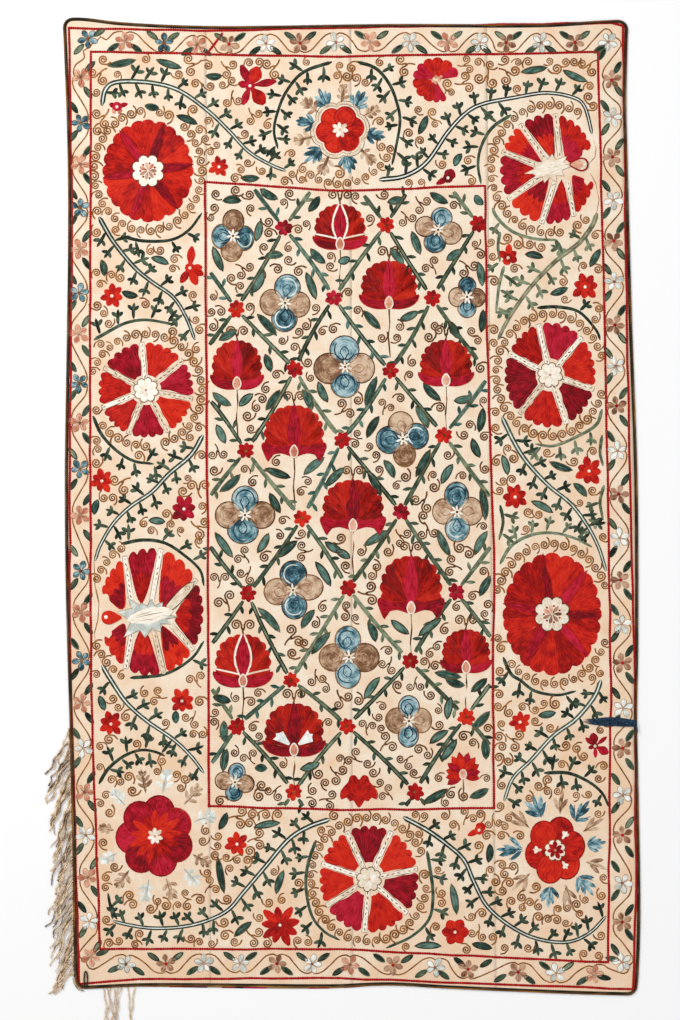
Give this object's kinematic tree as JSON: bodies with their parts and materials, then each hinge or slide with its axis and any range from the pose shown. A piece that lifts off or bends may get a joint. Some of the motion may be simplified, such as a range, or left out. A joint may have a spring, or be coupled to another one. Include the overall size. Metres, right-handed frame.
{
  "type": "suzani embroidered textile",
  "caption": "Embroidered suzani wall or bed cloth lying flat: seamed cotton panels with silk flower motifs, a woven edge braid, a lining and worn fringe.",
  "frame": {"origin": "centre of the bounding box in plan, on the surface that the cloth lies on", "axes": "+Z out of the embroidered face, +Y along the length towards the top of the design, +X across the width"},
  "size_m": [1.4892, 2.5332, 0.0088],
  "materials": {
    "cotton_ground": "matte plain weave, cream with peach stains",
    "printed_lining": "matte cotton in several colours",
    "silk_braid": "soft sheen, black-green and brown",
    "fringe_yarn": "matte twisted cotton, taupe",
    "blue_thread": "loose silk threads, dark blue",
    "embroidery_silk": "silk couching and chain stitch with a soft sheen, red, crimson, green, blue, taupe and white"
  },
  "bodies": {
    "root": {"panel_left": "cotton_ground", "panel_mid_left": "cotton_ground", "panel_mid_right": "cotton_ground", "panel_right": "cotton_ground", "lining": "printed_lining", "braid_top": "silk_braid", "braid_right": "silk_braid", "braid_bottom": "silk_braid", "braid_left": "silk_braid", "fringe_left": "fringe_yarn", "fringe_bottom": "fringe_yarn", "corner_loop": "silk_braid", "thread_tuft": "blue_thread"}
  },
  "joints": []
}
